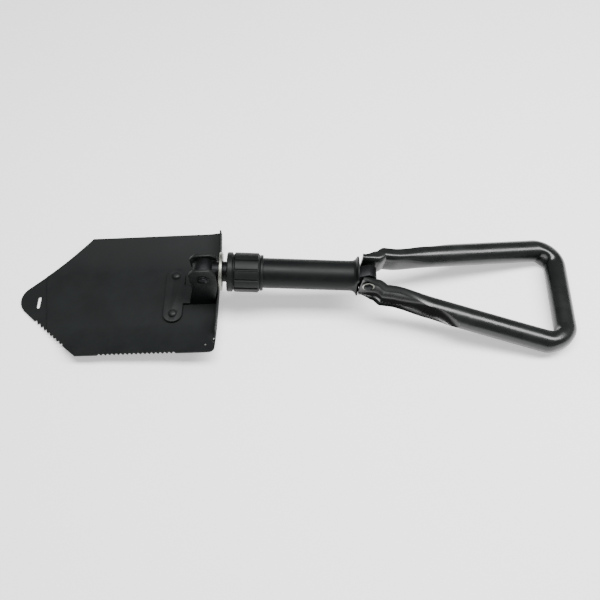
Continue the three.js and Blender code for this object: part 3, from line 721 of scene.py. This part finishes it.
def bend_dent(angle, turn, depths):
    """How far the wall moves in at a bend: kinked on the inside, with a fold each side of the kink."""
    inside = math.degrees(abs(math.atan2(math.sin(angle - math.pi), math.cos(angle - math.pi))))
    depth, fold, crush = depths
    kink = depth * bell(inside, KINK_WIDTH) - fold * bell(inside - FOLD_AT, FOLD_WIDTH)
    flattened = crush * bell(180 - inside, FLAT_WIDTH)
    ends = smooth(turn, 0, 0.3) * smooth(1 - turn, 0, 0.3)
    return (kink * bell(turn - 0.5, 0.3) + flattened * bell(turn - 0.45, 0.42)) * ends


def handle_point(here, outward, turn, angle):
    """The point at this angle round the section that stands at `here`."""
    dent = bend_dent(angle, turn, FAR_BEND if here.y > 0 else NEAR_BEND)
    tube = Vector((math.cos(angle), math.sin(angle))) * (HANDLE_RADIUS - dent)
    if here.x < ROUND_AGAIN:
        tube = scooped(here.x, angle)
    open_channel = 1 - smooth(here.x, *CHANNEL_FADE)
    reach = tube.lerp(channel_point(angle, lip_reach(here.x)), open_channel)
    flat = here + outward * reach.x
    return (flat.x, flat.y, reach.y)


def make_handle():
    path = handle_path()
    angles = section_angles(26)
    last = len(path) - 1
    points, rows = [], []
    for k, (here, turn) in enumerate(path):
        along = (path[min(last, k + 1)][0] - path[max(0, k - 1)][0]).normalized()
        if k in (0, last):
            along = Vector((math.copysign(1, along.x), 0))
        outward = Vector((-along.y, along.x))
        rows.append([len(points) + i for i in range(len(angles))])
        points += [handle_point(here, outward, turn, angle) for angle in angles]
    faces = [rows[0][::-1], rows[-1]]
    count = len(angles)
    for a, b in zip(rows, rows[1:]):
        for i in range(count):
            faces.append([a[i], a[(i + 1) % count], b[(i + 1) % count], b[i]])
    bent = ("handle_tube_bent", points, faces, HANDLE, HANDLE_PAINT)
    add_piece(*bent, "handle", "handle_paint", "handle_tube")


# ---- Assembly ----
make_blade()
make_foot_flange()
refine("hinge_bracket", BRACKET_PAINT, 0.8)
for side_name, side in (("near", -1), ("far", 1)):
    make_rivet("bracket_rivet_" + side_name, side)
    refine("blade_pin_washer_" + side_name, DARK_STEEL, 0.25)
    refine("handle_pin_washer_" + side_name, BARE_STEEL, 0.25)
BLADE_PIN_HEAD, HANDLE_PIN_HEAD = (4.6, 2, 0.05), (5, 2.4, 0.12)  # radius, height and facets
make_pin("blade_hinge_pin", BLADE, BLADE_PIN_HALF, BLADE_PIN_HEAD, DARK_STEEL, "blade", "bare_steel")
make_pin("handle_hinge_pin", HANDLE, HANDLE_PIN_HALF, HANDLE_PIN_HEAD, DARK_STEEL, "handle", "dark_steel")
make_lock()
make_tube()
make_handle()
refine("hinge_tongue", DARK_STEEL, 0.5)
refine("tongue_plug_pin", BARE_STEEL, 0.3)
refine("rear_bush", DARK_STEEL, 0.4)
refine("rear_bush_dowel", BARE_STEEL, 0.2)
refine("handle_tongue", DARK_STEEL, 0.6)
refine("tongue_stop_pin", BARE_STEEL, 0.3)
refine("handle_saddle", HANDLE_PAINT, 0.3)

# ---- Floor, light and camera, in metres ----
FLOOR_HALF = 4.0
FLOOR_GAP = 0.0004  # below the lowest point of the model
FLOOR_GLOW = 0.6
WORLD_STRENGTH = 0.3
KEY_PLACE, KEY_TARGET = (0.6, -0.06, 1.3), (0.6, -0.06, 0)
KEY_WIDTH, KEY_DEPTH, KEY_POWER = 2.1, 0.44, 62


def make_floor():
    material, tree, shader = new_material("floor_white")
    shade = remap(tree, noise(tree, 2.0, 2.0), 0.3, 0.7, 0.86, 0.88)
    tree.links.new(shade, shader.inputs["Base Color"])
    shader.inputs["Roughness"].default_value = 0.9
    shader.inputs["Emission Color"].default_value = (1, 1, 1, 1)
    shader.inputs["Emission Strength"].default_value = FLOOR_GLOW
    mesh = bpy.data.meshes.new("floor")
    half = FLOOR_HALF
    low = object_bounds()[0][2] - FLOOR_GAP
    corners = [(-half, -half, low), (half, -half, low), (half, half, low), (-half, half, low)]
    mesh.from_pydata(corners, [], [(0, 1, 2, 3)])
    mesh.materials.append(material)
    floor = bpy.data.objects.new("floor", mesh)
    bpy.context.scene.collection.objects.link(floor)


def make_light(name, place, target, width, depth, power):
    light = bpy.data.lights.new(name, "AREA")
    light.shape = "RECTANGLE"
    light.size, light.size_y = width, depth
    light.energy = power
    lamp = bpy.data.objects.new(name, light)
    lamp.location = place
    lamp.rotation_euler = (Vector(target) - Vector(place)).to_track_quat("-Z", "Y").to_euler()
    bpy.context.scene.collection.objects.link(lamp)


def make_world(strength):
    world = bpy.data.worlds.new("studio")
    world.use_nodes = True
    background = world.node_tree.nodes["Background"]
    background.inputs["Color"].default_value = (1, 1, 1, 1)
    background.inputs["Strength"].default_value = strength
    bpy.context.scene.world = world


def make_camera():
    """The camera, placed in the shaft's frame by its direction, roll and distance in millimetres."""
    azimuth, elevation, roll = math.radians(-2.673), math.radians(55.772), math.radians(4.041)
    distance, across, up_by = 954.1, 98.98, -29.822
    flat = math.cos(elevation)
    back = Vector((math.sin(azimuth) * flat, -math.cos(azimuth) * flat, math.sin(elevation)))
    right = Vector((math.cos(azimuth), math.sin(azimuth), 0))
    up = back.cross(right)
    rolled_right = right * math.cos(roll) + up * math.sin(roll)
    rolled_up = up * math.cos(roll) - right * math.sin(roll)
    place = back * distance + rolled_right * across + rolled_up * up_by
    turn = SHAFT.to_quaternion().to_matrix()
    axes = Matrix([turn @ rolled_right, turn @ rolled_up, turn @ back]).transposed()
    lens = bpy.data.cameras.new("camera")
    lens.lens = 55.80
    lens.sensor_width = 36
    lens.clip_start = 0.01
    camera = bpy.data.objects.new("camera", lens)
    camera.matrix_world = Matrix.Translation(SHAFT @ place) @ axes.to_4x4()
    bpy.context.scene.collection.objects.link(camera)
    bpy.context.scene.camera = camera


make_floor()
make_world(WORLD_STRENGTH)
make_light("key", KEY_PLACE, KEY_TARGET, KEY_WIDTH, KEY_DEPTH, KEY_POWER)
make_camera()
